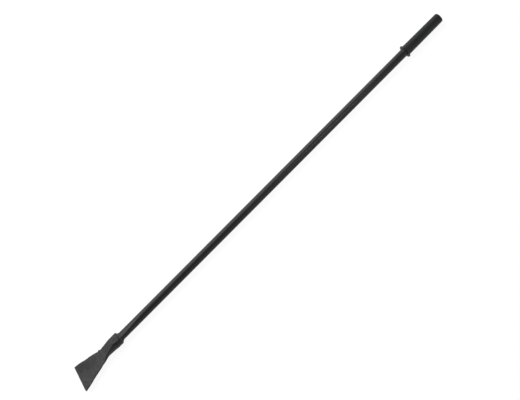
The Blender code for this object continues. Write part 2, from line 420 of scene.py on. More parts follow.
SIDE_SLOPE = 0.274  # half the blade's width lost for each metre towards the neck
NECK_SLOPE = 0.15  # how fast the front still rises at the narrowest section
BACK = 5.7 * MM  # from the shaft's axis down to the flat back of the blade
NECK_BACK = 5.2 * MM  # the same at the narrowest section
SIDE_RADIUS = 1.0 * MM  # rounding of the blade's four long edges
NECK_RADIUS = 2.0 * MM  # the same at the narrowest section
FLAT_EDGE = 1.1 * MM  # how far the edges of the socket's flat are rounded
SEAT_EDGE = FLAT_DEPTH * FLAT_SOFTNESS  # the same for the flat in its bore
LIP_RADIUS = 1.0 * MM  # rounding of the socket's mouth
LIP_STEPS = 8
CORNER_STEPS = 10  # along the rounded corners of the cutting edge
RING_SPACING = 0.9 * MM  # between the head's sections
HEAD_POINTS = 272  # round one section, a multiple of four
CORNER_SHARE = 0.30  # share of those points that goes to the four corners
ROUND_ENOUGH = 4 * MM  # a corner of this radius or more isn't rubbed
FLAT_RIM = 0.7 * MM  # half the width of the rubbed rim round the socket's flat
CORNER_WEAR = 0.5  # how rubbed the long edges are, from 0 to 1
EDGE_WEAR = 0.85  # the same for the cutting edge
EDGE_WEAR_REACH = 1.6 * MM  # how far up the blade that goes
SOCKET_WEAR = 0.4  # the same for the rim of the socket's flat
LIP_WEAR = 0.35  # the same for the socket's mouth
SIDE_START = 0.55  # share of the half width from which a side's lumps show
SIDE_RUN = 0.4  # share of it over which they reach their full height
EDGE_CALM = 8 * MM  # over which the forged unevenness dies out at the cutting edge
BROAD_DENTS = 21 * MM  # size of the larger dents of the forged skin
FINE_DENTS = 6.5 * MM  # size of the smaller ones
BROAD_SHARE = 0.75  # share of the unevenness that the larger dents have


def socket_start(s):
    """How far from the cutting edge the socket's round part starts."""
    return s.blade_length + s.neck_length + s.flare_length


def flat_height(s):
    """How far the socket's flat top lies above the shaft's axis."""
    return SEAT_RADIUS - FLAT_DEPTH + s.flat_wall


def head_section(s, x):
    """The head's section at x from the cutting edge, as section_points takes it."""
    root_half = s.edge_width / 2 - SIDE_SLOPE * s.blade_length
    socket_radius = SEAT_RADIUS + s.socket_wall
    if x < s.blade_length:
        half_width = s.edge_width / 2 - SIDE_SLOPE * x
        if x < s.edge_corner:
            from_centre = s.edge_corner - x
            half_width -= s.edge_corner - math.sqrt(s.edge_corner**2 - from_centre**2)
        rise = min(x / s.bevel, 1.0)
        thickness = s.edge_thickness + (s.blade_thickness - s.edge_thickness) * rise
        return half_width, -BACK, thickness - BACK, SIDE_RADIUS
    x -= s.blade_length
    if x < s.neck_length:
        share = x / s.neck_length
        run = s.neck_length
        half_width = ease(root_half, -SIDE_SLOPE, s.neck_width / 2, 0, run, share)
        back = ease(-BACK, 0, -NECK_BACK, 0, run, share)
        thickness = ease(s.blade_thickness, 0, s.neck_thickness, NECK_SLOPE, run, share)
        return half_width, back, back + thickness, ease(SIDE_RADIUS, 0, NECK_RADIUS, 0, run, share)
    x -= s.neck_length
    share = min(x / s.flare_length, 1.0)
    run = s.flare_length
    neck_front = s.neck_thickness - NECK_BACK
    half_width = ease(s.neck_width / 2, 0, socket_radius, 0, run, share)
    back = ease(-NECK_BACK, 0, s.socket_rise - socket_radius, 0, run, share)
    front = ease(neck_front, NECK_SLOPE, s.socket_rise + socket_radius, 0, run, share)
    radius = ease(NECK_RADIUS, 0, socket_radius, 0, run, share)
    flat = ease(neck_front, NECK_SLOPE, flat_height(s), 0, run, share)
    flat += lump_height(FLAT_LUMPS, s.blade_length + s.neck_length + x)
    return half_width, back, front, radius, flat, FLAT_EDGE * min(4 * share, 1.0)


def pressed(height, flat, softness):
    """The height, or the flat where that is lower, with the edge between them rounded."""
    near = max(softness - abs(height - flat), 0.0) / softness if softness else 0.0
    return min(height, flat) - near**3 * softness / 6


def section_points(half_width, back, front, radius, flat=math.inf, softness=0.0):
    """Points round a rounded rectangle, pressed down to the flat where it stands above that.

    Each is given as (y, z, how sharply the section turns there from 0 to 1).
    """
    half_height = (front - back) / 2
    middle = (front + back) / 2
    radius = min(radius, half_width, half_height)
    up = half_height - radius
    across = half_width - radius
    bend = math.pi / 2 * radius
    whole = up + across + bend
    to_corner = (1 - CORNER_SHARE) * up / whole
    corner = (1 - CORNER_SHARE) * bend / whole + CORNER_SHARE
    rest = 1 - to_corner - corner
    sharpness = max(0.0, 1 - radius / ROUND_ENOUGH)
    quarter = []
    count = HEAD_POINTS // 4
    for i in range(count):
        share = (i + 0.5) / count
        if share < to_corner:
            quarter.append((half_width, up * share / to_corner, 0.0))
        elif share < to_corner + corner:
            turn = (share - to_corner) / corner * math.pi / 2
            y = across + radius * math.cos(turn)
            z = up + radius * math.sin(turn)
            quarter.append((y, z, sharpness * math.sin(2 * turn)))
        else:
            left = 1 - (share - to_corner - corner) / rest
            quarter.append((across * left, half_height, 0.0))
    points = list(quarter)
    points += [(-y, z, w) for y, z, w in reversed(quarter)]
    points += [(-y, -z, w) for y, z, w in quarter]
    points += [(y, -z, w) for y, z, w in reversed(quarter)]
    points = [(y, middle + z, w) for y, z, w in points]
    if front - flat < softness:
        return [(y, pressed(z, flat, softness), w) for y, z, w in points]
    rim = [math.exp(-(((z - flat) / FLAT_RIM) ** 2)) for y, z, w in points]
    return [(y, pressed(z, flat, softness), max(w, r)) for (y, z, w), r in zip(points, rim)]


def head_stations(s):
    """Where the head's sections lie, closer together where the form turns."""
    turns = [math.pi / 2 * i / CORNER_STEPS for i in range(CORNER_STEPS)]
    corner = [s.edge_corner * (1 - math.cos(turn)) for turn in turns]
    run = socket_start(s) - s.edge_corner
    steps = int(run / RING_SPACING)
    body = [s.edge_corner + run * i / steps for i in range(steps + 1)]
    return corner + body


def forging_relief(point, depth):
    """How far the forged skin lies off the smooth form at a point."""
    broad = noise.noise(point / BROAD_DENTS + Vector((3.7, 1.1, 8.2)))
    fine = noise.noise(point / FINE_DENTS + Vector((9.4, 5.8, 2.6)))
    return depth * (BROAD_SHARE * broad + (1 - BROAD_SHARE) * fine)


# Lumps and dips that the trimming of the flash left along the two sides: where each lies from
# the cutting edge, its half length and its height, in millimetres
FAR_SIDE_LUMPS = (
    (10, 9, -1.3),
    (40, 8, -0.6),
    (57, 4.5, 1.1),
    (69, 8, 1.5),
    (81, 6, 0.7),
    (94, 4, 3.2),
)
NEAR_SIDE_LUMPS = ((0, 1.8, -3.6), (2, 5, 0.9), (18, 16, 1.5), (83, 7, -1.0), (139, 10, -1.4))
# The same for the flat on top of the socket and its run down to the neck
FLAT_LUMPS = ((150, 8, 1.3),)
# Areas of the front painted lighter or darker, the lighter one on the bevel by the cutting edge
# being a painted highlight: where each lies from the cutting edge and from the blade's middle and
# its radius, in millimetres, and how much lighter and glossier it is
PAINTED_LIGHT_AND_TONE_AREAS = (
    (17, 25, 15, -0.28),
    (40, 17, 15, -0.22),
    (60, 8, 14, -0.12),
    (33, -6, 8, -0.10),
    # A painted highlight on the bevel by the cutting edge
    (4, -8, 16, 0.08),
)


def lump_height(lumps, x):
    """How far a surface stands out at x because of its lumps."""
    return sum(h * MM * math.exp(-(((x / MM - at) / half) ** 2)) for at, half, h in lumps)


def side_share(across):
    """How much a point stands out with its side's lumps, by its share of the half width."""
    return min(max((across - SIDE_START) / SIDE_RUN, 0.0), 1.0)


def painted_light_and_tone(x, y):
    """How much lighter a place on the front is painted, as a share; by the cutting edge this is a
    painted highlight.
    """
    return sum(
        tone * math.exp(-((x / MM - at) ** 2 + (y / MM - side) ** 2) / radius**2)
        for at, side, radius, tone in PAINTED_LIGHT_AND_TONE_AREAS
    )


class ICE_CHOPPER_OT_forge_head(bpy.types.Operator):
    """Forges the blade, neck and socket as one piece"""

    bl_idname = "ice_chopper.forge_head"
    bl_label = "Forge the Head"

    def socket_ring(self, s, x, inset):
        """Points round the outside of the socket, or as far inside it as the inset says."""
        radius = SEAT_RADIUS + s.socket_wall - inset
        rise = s.socket_rise
        flat = flat_height(s) + lump_height(FLAT_LUMPS, x) - inset
        return section_points(radius, rise - radius, rise + radius, radius, flat, FLAT_EDGE)

    def rings(self, s):
        """Points round the head, ring by ring from the cutting edge to the bottom of the bore.

        Each is given as (x, y, z, how uneven the skin is there, how rubbed it is there).
        """
        body_end = socket_start(s)
        head_end = body_end + s.socket_length
        lip_start = head_end - LIP_RADIUS
        straight = int((lip_start - body_end) / RING_SPACING)
        rings = []
        for x in head_stations(s):
            half_width, *rest = head_section(s, x)
            far_lump = lump_height(FAR_SIDE_LUMPS, x)
            near_lump = lump_height(NEAR_SIDE_LUMPS, x)
            ring = []
            for y, z, turn in section_points(half_width, *rest):
                y += far_lump * side_share(y / half_width) - near_lump * side_share(-y / half_width)
                worn = max(CORNER_WEAR * turn, EDGE_WEAR * math.exp(-x / EDGE_WEAR_REACH))
                ring.append((x, y, z, 1.0, worn))
            rings.append(ring)
        for i in range(1, straight):
            share = i / straight
            x = body_end + (lip_start - body_end) * share
            lean = MOUTH_LEAN * share
            rough = 1 - share**4
            ring = self.socket_ring(s, x, 0.0)
            rings.append([(x + lean * z, y, z, rough, SOCKET_WEAR * turn) for y, z, turn in ring])
        for i in range(LIP_STEPS + 1):
            turn = math.pi / 2 * (1 - i / LIP_STEPS)
            x = lip_start + LIP_RADIUS * math.cos(turn)
            worn = LIP_WEAR * math.sin(2 * turn)
            ring = self.socket_ring(s, x, LIP_RADIUS - LIP_RADIUS * math.sin(turn))
            rings.append([(x + MOUTH_LEAN * z, y, z, 0.0, worn) for y, z, _ in ring])
        depth_in = SEAT_RADIUS - FLAT_DEPTH
        bore = (SEAT_RADIUS, -SEAT_RADIUS, SEAT_RADIUS, SEAT_RADIUS, depth_in, SEAT_EDGE)
        for x, lean in ((head_end, MOUTH_LEAN), (head_end - s.socket_depth, 0.0)):
            rings.append([(x + lean * z, y, z, 0.0, 0.0) for y, z, _ in section_points(*bore)])
        return rings

    def execute(self, context):
        s = context.scene.ice_chopper_head
        bm = bmesh.new()
        wear_layer = bm.verts.layers.float.new("edge_wear")
        light_and_tone_layer = bm.verts.layers.float.new("painted_light_and_tone")
        rows = []
        relief = {}
        for ring in self.rings(s):
            row = []
            for x, y, z, rough, worn in ring:
                vert = bm.verts.new((x, y, z))
                vert[wear_layer] = worn
                # Painted lighter and darker areas of the front, with a painted highlight on the
                # bevel
                vert[light_and_tone_layer] = painted_light_and_tone(x, y)
                relief[vert] = rough
                row.append(vert)
            rows.append(row)
        for row, next_row in zip(rows, rows[1:]):
            for i in range(HEAD_POINTS):
                j = (i + 1) % HEAD_POINTS
                bm.faces.new((row[i], row[j], next_row[j], next_row[i]))
        bm.faces.new(rows[0])
        bm.faces.new(rows[-1])
        bmesh.ops.recalc_face_normals(bm, faces=bm.faces)
        bm.normal_update()
        moves = []
        for vert, rough in relief.items():
            depth = s.unevenness * rough * min(vert.co.x / EDGE_CALM, 1.0)
            moves.append((vert, vert.normal * forging_relief(vert.co, depth)))
        for vert, move in moves:
            vert.co += move
        bm.transform(Matrix.Translation((EDGE_X, 0, AXIS_HEIGHT)))
        mesh = bpy.data.meshes.new("forged_head")
        bm.to_mesh(mesh)
        bm.free()
        paint = painted_forging(s)
        piece = finish_piece(mesh, "forged_head", paint, SHARP_ANGLE)
        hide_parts("blade_head")
        return {"FINISHED"}


def new_tree(name, sockets):
    """A geometry tree with named inputs. It returns the tree and what these inputs give."""
    tree = bpy.data.node_groups.new(name, "GeometryNodeTree")
    tree.is_modifier = True
    tree.interface.new_socket(name="Geometry", in_out="OUTPUT", socket_type="NodeSocketGeometry")
    for socket_name, kind in sockets:
        tree.interface.new_socket(name=socket_name, in_out="INPUT", socket_type=kind)
    return tree, add_node(tree, "NodeGroupInput").outputs


def finish_tree(tree, geometry, material):
    """Realises what the tree made, gives it its material and hands it out."""
    real = add_node(tree, "GeometryNodeRealizeInstances", {"Geometry": geometry})
    coated = add_node(tree, "GeometryNodeSetMaterial", {"Geometry": real, "Material": material})
    add_node(tree, "NodeGroupOutput", {"Geometry": coated})


def grown_mesh(tree, values):
    """Runs a tree once with the given inputs and returns its result as a plain mesh."""
    holder = bpy.data.objects.new("holder", bpy.data.meshes.new("holder"))
    bpy.context.scene.collection.objects.link(holder)
    modifier = holder.modifiers.new("nodes", "NODES")
    modifier.node_group = tree
    for item in tree.interface.items_tree:
        if item.in_out == "INPUT":
            modifier[item.identifier] = values[item.name]
    holder.update_tag()
    evaluated = holder.evaluated_get(bpy.context.evaluated_depsgraph_get())
    mesh = bpy.data.meshes.new_from_object(evaluated)
    holder.modifiers.clear()
    bpy.data.objects.remove(holder)
    if not mesh.polygons:
        raise RuntimeError(tree.name + " made no faces")
    return mesh


def loop_grid(tree, around, along):
    """A sheet that becomes a ring: it returns the sheet and its two shares from 0 to 1."""
    inputs = {
        "Size X": 1.0,
        "Size Y": 1.0,
        "Vertices X": add_node(tree, MATH, {0: around, 1: 1.0}, operation="ADD"),
        "Vertices Y": along + 1,
    }
    sheet = add_node(tree, "GeometryNodeMeshGrid", inputs)
    place = add_node(tree, "GeometryNodeInputPosition")
    parts = add_node(tree, "ShaderNodeSeparateXYZ", {0: place}).outputs
    round_share = add_node(tree, MATH, {0: parts[0], 1: 0.5}, operation="ADD")
    outline_share = add_node(tree, MATH, {0: parts[1], 1: 0.5}, operation="ADD")
    return sheet, round_share, outline_share


def outline_parts(tree, share, ends):
    """How far a point of an outline is through each of its parts, from 0 to 1."""
    return [
        add_node(tree, RANGE, {"Value": share, "From Min": start, "From Max": end})
        for start, end in zip(ends, ends[1:])
    ]


def ring_from_grid(tree, sheet, round_share, x, radius, depth, lean):
    """Wraps the sheet round the shaft's axis and closes its two seams.

    The ring's top is pressed in by the depth, and it leans towards the grip for each metre up.
    """
    turn = add_node(tree, MATH, {0: round_share, 1: 2 * math.pi}, operation="MULTIPLY")
    aside = add_node(tree, MATH, {0: turn}, operation="COSINE")
    above = add_node(tree, MATH, {0: turn}, operation="SINE")
    y = add_node(tree, MATH, {0: radius, 1: aside}, operation="MULTIPLY")
    z = add_node(tree, MATH, {0: radius, 1: above}, operation="MULTIPLY")
    flat = add_node(tree, MATH, {0: radius, 1: depth}, operation="SUBTRACT")
    softness = add_node(tree, MATH, {0: depth, 1: FLAT_SOFTNESS}, operation="MULTIPLY")
    z = add_node(tree, MATH, {0: z, 1: flat, 2: softness}, operation="SMOOTH_MIN")
    x = add_node(tree, MATH, {0: z, 1: lean, 2: x}, operation="MULTIPLY_ADD")
    z = add_node(tree, MATH, {0: z, 1: AXIS_HEIGHT}, operation="ADD")
    place = add_node(tree, "ShaderNodeCombineXYZ", {0: x, 1: y, 2: z})
    wrapped = add_node(tree, "GeometryNodeSetPosition", {"Geometry": sheet, "Position": place})
    inputs = {"Geometry": wrapped, "Distance": SEAM_DISTANCE}
    return add_node(tree, "GeometryNodeMergeByDistance", inputs)


WELD_OUTLINE_STEPS = 60
WELD_SEAT = 6 / WELD_OUTLINE_STEPS  # share of the outline up the socket's end
WELD_TOP = 9 / WELD_OUTLINE_STEPS  # share where the face starts
WELD_FOOT = 48 / WELD_OUTLINE_STEPS  # share where the face ends
WELD_UNDER = 51 / WELD_OUTLINE_STEPS  # share where the outline turns back along the tube
WELD_TOE = 0.5 * MM  # thickness that the bead keeps at both ends of its face
WELD_SWELL = 1.4 * MM  # range in which the bead's face swells and sinks round the tube
WELD_REACH = 1.6 * MM  # range in which its foot wanders along the tube
WELD_FILL = 0.6  # share of the bead's height that is taken off the depth of its flat
RIPPLE_BOW = 3.0  # four times the lag of a ripple's ends behind its middle, in ripples
RIPPLE_WAVER = 1.6  # range in which the ripples wander from an even spacing, in ripples


def weld_tree():
    """A fillet bead that runs round the tube, with the ripples that each pass leaves."""
    sockets = [
        ("Start", "NodeSocketFloat"),
        ("Tube Leg", "NodeSocketFloat"),
        ("Socket Leg", "NodeSocketFloat"),
        ("Hollow", "NodeSocketFloat"),
        ("Flat Depth", "NodeSocketFloat"),
        ("Lean", "NodeSocketFloat"),
        ("Ripple Height", "NodeSocketFloat"),
        ("Ripples", "NodeSocketInt"),
        ("Faces Per Ripple", "NodeSocketInt"),
        ("Seed", "NodeSocketFloat"),
        ("Material", "NodeSocketMaterial"),
    ]
    tree, given = new_tree("weld_bead", sockets)
    tube_leg = given["Tube Leg"]
    socket_leg = given["Socket Leg"]
    inputs = {0: given["Ripples"], 1: given["Faces Per Ripple"]}
    around = add_node(tree, MATH, inputs, operation="MULTIPLY")
    sheet, round_share, share = loop_grid(tree, around, WELD_OUTLINE_STEPS)
    ends = (0.0, WELD_SEAT, WELD_TOP, WELD_FOOT, WELD_UNDER, 1.0)
    seat, top, face, foot, under = outline_parts(tree, share, ends)

    # The plain outline: up the socket's end, down the face and back along the tube
    top_share = add_node(tree, MATH, {0: WELD_TOE, 1: tube_leg}, operation="DIVIDE")
    face_share = add_node(tree, MATH, {0: 1.0, 1: top_share}, operation="SUBTRACT")
    out_top = add_node(tree, MATH, {0: top, 1: top_share}, operation="MULTIPLY")
    out_face = add_node(tree, MATH, {0: face, 1: face_share}, operation="MULTIPLY")
    out = add_node(tree, MATH, {0: out_top, 1: out_face}, operation="ADD")
    out = add_node(tree, MATH, {0: out, 1: under}, operation="SUBTRACT")
    x = add_node(tree, MATH, {0: out, 1: tube_leg, 2: given["Start"]}, operation="MULTIPLY_ADD")
    foot_share = add_node(tree, MATH, {0: WELD_TOE, 1: socket_leg}, operation="DIVIDE")
    fall_share = add_node(tree, MATH, {0: 1.0, 1: foot_share}, operation="SUBTRACT")
    fall = add_node(tree, MATH, {0: face, 1: fall_share}, operation="MULTIPLY")
    drop = add_node(tree, MATH, {0: foot, 1: foot_share}, operation="MULTIPLY")
    height = add_node(tree, MATH, {0: seat, 1: fall}, operation="SUBTRACT")
    height = add_node(tree, MATH, {0: height, 1: drop}, operation="SUBTRACT")
    inputs = {0: height, 1: socket_leg, 2: SEAT_RADIUS}
    radius = add_node(tree, MATH, inputs, operation="MULTIPLY_ADD")

    # A slow noise that runs round the tube
    turn = add_node(tree, MATH, {0: round_share, 1: 2 * math.pi}, operation="MULTIPLY")
    aside = add_node(tree, MATH, {0: turn}, operation="COSINE")
    above = add_node(tree, MATH, {0: turn}, operation="SINE")
    place = add_node(tree, "ShaderNodeCombineXYZ", {0: aside, 1: above, 2: given["Seed"]})
    waver = add_node(tree, "ShaderNodeTexNoise", {"Vector": place, "Scale": 3.2, "Detail": 2.0})
    waver = add_node(tree, MATH, {0: waver, 1: 0.5}, operation="SUBTRACT")

    # The ripples, bowed across the face and fading out at both its ends
    arch = add_node(tree, MATH, {0: face, 1: math.pi}, operation="MULTIPLY")
    arch = add_node(tree, MATH, {0: arch}, operation="SINE")
    bow = add_node(tree, MATH, {0: face, 1: 0.5}, operation="SUBTRACT")
    bow = add_node(tree, MATH, {0: bow, 1: 2.0}, operation="POWER")
    phase = add_node(tree, MATH, {0: round_share, 1: given["Ripples"]}, operation="MULTIPLY")
    phase = add_node(tree, MATH, {0: bow, 1: RIPPLE_BOW, 2: phase}, operation="MULTIPLY_ADD")
    phase = add_node(tree, MATH, {0: waver, 1: RIPPLE_WAVER, 2: phase}, operation="MULTIPLY_ADD")
    phase = add_node(tree, MATH, {0: phase, 1: math.pi}, operation="MULTIPLY")
    crest = add_node(tree, MATH, {0: phase}, operation="SINE")
    crest = add_node(tree, MATH, {0: crest}, operation="ABSOLUTE")
    fade = add_node(tree, MATH, {0: arch, 1: 0.6}, operation="POWER")
    crest = add_node(tree, MATH, {0: crest, 1: fade}, operation="MULTIPLY")
    crest = add_node(tree, MATH, {0: crest, 1: given["Ripple Height"]}, operation="MULTIPLY")

    # What lifts the face off the plain outline, square to its slant
    swell = add_node(tree, MATH, {0: waver, 1: arch}, operation="MULTIPLY")
    swell = add_node(tree, MATH, {0: swell, 1: WELD_SWELL}, operation="MULTIPLY")
    lift = add_node(tree, MATH, {0: crest, 1: swell}, operation="ADD")
    dip = add_node(tree, MATH, {0: arch, 1: given["Hollow"]}, operation="MULTIPLY")
    lift = add_node(tree, MATH, {0: lift, 1: dip}, operation="SUBTRACT")
    tube_square = add_node(tree, MATH, {0: tube_leg, 1: 2.0}, operation="POWER")
    socket_square = add_node(tree, MATH, {0: socket_leg, 1: 2.0}, operation="POWER")
    slant = add_node(tree, MATH, {0: tube_square, 1: socket_square}, operation="ADD")
    slant = add_node(tree, MATH, {0: slant}, operation="SQRT")
    along = add_node(tree, MATH, {0: socket_leg, 1: slant}, operation="DIVIDE")
    outward = add_node(tree, MATH, {0: tube_leg, 1: slant}, operation="DIVIDE")
    x = add_node(tree, MATH, {0: lift, 1: along, 2: x}, operation="MULTIPLY_ADD")
    radius = add_node(tree, MATH, {0: lift, 1: outward, 2: radius}, operation="MULTIPLY_ADD")

    # The foot wanders along the tube, and the way back under the bead makes that good
    reach = add_node(tree, MATH, {0: waver, 1: face}, operation="MULTIPLY")
    reach = add_node(tree, MATH, {0: reach, 1: WELD_REACH}, operation="MULTIPLY")
    kept = add_node(tree, MATH, {0: 1.0, 1: under}, operation="SUBTRACT")
    x = add_node(tree, MATH, {0: reach, 1: kept, 2: x}, operation="MULTIPLY_ADD")

    # The higher the bead, the more of the flat on the tube's top it fills up
    filled = add_node(tree, MATH, {0: radius, 1: SEAT_RADIUS}, operation="SUBTRACT")
    filled = add_node(tree, MATH, {0: filled, 1: WELD_FILL}, operation="MULTIPLY")
    depth = add_node(tree, MATH, {0: given["Flat Depth"], 1: filled}, operation="SUBTRACT")
    ring = ring_from_grid(tree, sheet, round_share, x, radius, depth, given["Lean"])
    finish_tree(tree, ring, given["Material"])
    return tree


class ICE_CHOPPER_OT_weld_socket(bpy.types.Operator):
    """Lays the weld round the socket's mouth"""

    bl_idname = "ice_chopper.weld_socket"
    bl_label = "Weld the Socket"

    def execute(self, context):
        s = context.scene.ice_chopper_weld
        material = painted_weld(s)
        values = {
            "Start": WELD_LOW.x + MOUTH_LEAN * (AXIS_HEIGHT - WELD_LOW.z),
            "Tube Leg": s.tube_leg,
            "Socket Leg": s.socket_leg,
            "Hollow": s.hollow,
            "Flat Depth": FLAT_DEPTH,
            "Lean": MOUTH_LEAN,
            "Ripple Height": s.ripple_height,
            "Ripples": s.ripples,
            "Faces Per Ripple": 8,
            "Seed": 5.3,
            "Material": material,
        }
        mesh = grown_mesh(weld_tree(), values)
        piece = finish_piece(mesh, "weld_bead", material, WELD_SHARP_ANGLE)
        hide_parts("socket_weld")
        return {"FINISHED"}


TUBE_OUTLINE_STEPS = 400
TUBE_OUTER = 196 / TUBE_OUTLINE_STEPS  # share of the outline along the outside
TUBE_FAR = 200 / TUBE_OUTLINE_STEPS  # share where the far end's face ends
TUBE_INNER = 396 / TUBE_OUTLINE_STEPS  # share where the bore ends
FADE_GAP = 0.5 * MM  # from the weld to where the tube's flat starts to fade out


def tube_tree():
    """A wall that runs along the shaft, outside and in, turned about its axis."""
    sockets = [
        ("Start", "NodeSocketFloat"),
        ("Length", "NodeSocketFloat"),
        ("Radius", "NodeSocketFloat"),
        ("Wall", "NodeSocketFloat"),
        ("Flat Depth", "NodeSocketFloat"),
        ("Fade Start", "NodeSocketFloat"),
        ("Fade Length", "NodeSocketFloat"),
        ("Sides", "NodeSocketInt"),
        ("Material", "NodeSocketMaterial"),
    ]
    tree, given = new_tree("drawn_tube", sockets)
    sheet, round_share, share = loop_grid(tree, given["Sides"], TUBE_OUTLINE_STEPS)
    ends = (0.0, TUBE_OUTER, TUBE_FAR, TUBE_INNER, 1.0)
    outside, down, inside, up = outline_parts(tree, share, ends)
    along = add_node(tree, MATH, {0: outside, 1: inside}, operation="SUBTRACT")
    inputs = {0: along, 1: given["Length"], 2: given["Start"]}
    x = add_node(tree, MATH, inputs, operation="MULTIPLY_ADD")
    inward = add_node(tree, MATH, {0: down, 1: up}, operation="SUBTRACT")
    inward = add_node(tree, MATH, {0: inward, 1: given["Wall"]}, operation="MULTIPLY")
    radius = add_node(tree, MATH, {0: given["Radius"], 1: inward}, operation="SUBTRACT")
    past = add_node(tree, MATH, {0: x, 1: given["Fade Start"]}, operation="SUBTRACT")
    past = add_node(tree, MATH, {0: past, 1: given["Fade Length"]}, operation="DIVIDE")
    kept = add_node(tree, RANGE, {"Value": past, "To Min": 1.0, "To Max": 0.0})
    depth = add_node(tree, MATH, {0: kept, 1: given["Flat Depth"]}, operation="MULTIPLY")
    ring = ring_from_grid(tree, sheet, round_share, x, radius, depth, 0.0)
    finish_tree(tree, ring, given["Material"])
    return tree


class ICE_CHOPPER_OT_draw_tube(bpy.types.Operator):
    """Makes the steel tube between the head and the grip"""

    bl_idname = "ice_chopper.draw_tube"
    bl_label = "Draw the Tube"

    def execute(self, context):
        s = context.scene.ice_chopper_tube
        material = painted_tube(s)
        values = {
            "Start": TUBE_LOW.x,
            "Length": TUBE_HIGH.x - TUBE_LOW.x,
            "Radius": TUBE_RADIUS,
            "Wall": s.wall,
            "Flat Depth": FLAT_DEPTH,
            "Fade Start": WELD_HIGH.x + FADE_GAP,
            "Fade Length": FLAT_FADE,
            "Sides": s.around,
            "Material": material,
        }
        mesh = grown_mesh(tube_tree(), values)
        piece = finish_piece(mesh, "drawn_tube", material, SHARP_ANGLE)
        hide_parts("shaft_tube")
        return {"FINISHED"}


GRIP_SIDES = 160
SLEEVE_STEPS = 48  # along the sleeve
END_RING = 0.45  # share of the closed end's radius at which its face is divided


def arc(centre_x, centre_radius, radius, start, end, steps=10):
    """Points of a rounding in a turned outline, between two angles in degrees."""
    turns = [math.radians(start + (end - start) * i / steps) for i in range(steps + 1)]
    return [(centre_x + radius * math.cos(a), centre_radius + radius * math.sin(a)) for a in turns]


class ICE_CHOPPER_OT_mould_grip(bpy.types.Operator):
    """Moulds the grip with its flange and closed end"""

    bl_idname = "ice_chopper.mould_grip"
    bl_label = "Mould the Grip"

    def execute(self, context):
        s = context.scene.ice_chopper_grip
        run = GRIP_HIGH.x - GRIP_LOW.x
        grip_radius = TUBE_RADIUS + s.wall_at_flange
        end_radius = TUBE_RADIUS + s.wall_at_end
        flange_radius = grip_radius + s.flange_height
        rim = s.flange_rounding
        fillet_x = s.flange_thickness + s.flange_fillet
        outline = [(run - s.end_thickness, 0.0), (run - s.end_thickness, SEAT_RADIUS)]
        outline.append((0.0, SEAT_RADIUS))
        outline += arc(rim, flange_radius - rim, rim, 180, 90)
        outline += arc(s.flange_thickness - rim, flange_radius - rim, rim, 90, 0)
        outline += arc(fillet_x, grip_radius + s.flange_fillet, s.flange_fillet, 180, 270)
        sleeve_end = run - s.end_rounding
        for i in range(1, SLEEVE_STEPS):
            share = i / SLEEVE_STEPS
            x = fillet_x + (sleeve_end - fillet_x) * share
            outline.append((x, grip_radius + (end_radius - grip_radius) * share))
        outline += arc(sleeve_end, end_radius - s.end_rounding, s.end_rounding, 90, 0)
        outline += [(run, end_radius * END_RING), (run, 0.0)]

        bm = bmesh.new()
        verts = [bm.verts.new((x, radius, 0.0)) for x, radius in outline]
        edges = [bm.edges.new(pair) for pair in zip(verts, verts[1:])]
        bmesh.ops.spin(
            bm,
            geom=verts + edges,
            cent=(0, 0, 0),
            axis=(1, 0, 0),
            angle=2 * math.pi,
            steps=GRIP_SIDES,
            use_merge=True,
        )
        bmesh.ops.remove_doubles(bm, verts=bm.verts, dist=SEAM_DISTANCE)
        bmesh.ops.recalc_face_normals(bm, faces=bm.faces)
        bm.transform(Matrix.Translation((GRIP_LOW.x, 0, AXIS_HEIGHT)))
        mesh = bpy.data.meshes.new("moulded_grip")
        bm.to_mesh(mesh)
        bm.free()
        piece = finish_piece(mesh, "moulded_grip", moulded_vinyl(s), SHARP_ANGLE)
        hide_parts("hand_grip")
        return {"FINISHED"}


def add_lamp(name, position, target, size_x, size_y, level, spread=180):
    """A soft rectangular lamp, whose light goes out in a cone of spread degrees.

    Level is how bright it makes a white surface that faces it at the target.
    """
    lamp = bpy.data.lights.new(name, "AREA")
    lamp.shape = "RECTANGLE"
    lamp.size = size_x
    lamp.size_y = size_y
    away = Vector(position) - Vector(target)
    # One watt makes a white surface a metre away 1 / pi squared bright.
    lamp.energy = level * math.pi**2 * away.length_squared
    if spread < 180:
        # In a narrower cone the same watts are brighter, so fewer are needed.
        half = math.radians(spread / 2)
        lamp.spread = 2 * half
        lamp.energy *= 1 - half / math.tan(half)
    obj = bpy.data.objects.new(name, lamp)
    bpy.context.scene.collection.objects.link(obj)
    back = away.normalized()
    up = back.cross(Vector((1, 0, 0))).normalized()
    right = up.cross(back).normalized()
    turn = Matrix((right, up, back)).transposed().to_4x4()
    obj.matrix_world = Matrix.Translation(position) @ turn
    obj.visible_camera = False


def seen_straight(tree):
    """1 for the camera and for mirrored or refracted sight of the stage, and otherwise 0."""
    rays = add_node(tree, "ShaderNodeLightPath").outputs
    inputs = {0: rays["Is Camera Ray"], 1: rays["Is Glossy Ray"]}
    either = add_node(tree, MATH, inputs, operation="MAXIMUM")
    return add_node(tree, MATH, {0: either, 1: rays["Is Transmission Ray"]}, operation="MAXIMUM")


WHITE = (1.0, 1.0, 1.0)
FLOOR_SHADOW = 0.10  # share of the lamps' light that the shown floor reflects
FLOOR_GLOW = 0.93  # what it shows without them
FLOOR_RADIUS = 30.0
FLOOR_GAP = 0.2 * MM  # between the floor and what stands on it
ROOM_WALL = 1.0  # how bright the walls are where they are seen
ROOM_CEILING = 0.1  # the same for the ceiling
WALL_TOP = 0.2  # sine of the angle at which the walls start to darken towards the ceiling
CEILING_EDGE = 0.5  # the same where the ceiling starts
ROOM_FILL = 0.11  # light that the whole room gives the object
KEY_LIFT = math.radians(57)  # how high the main lamp stands on the shaft's far side
KEY_DISTANCE = 2.4
KEY_ALONG = -0.5  # its place along the tool


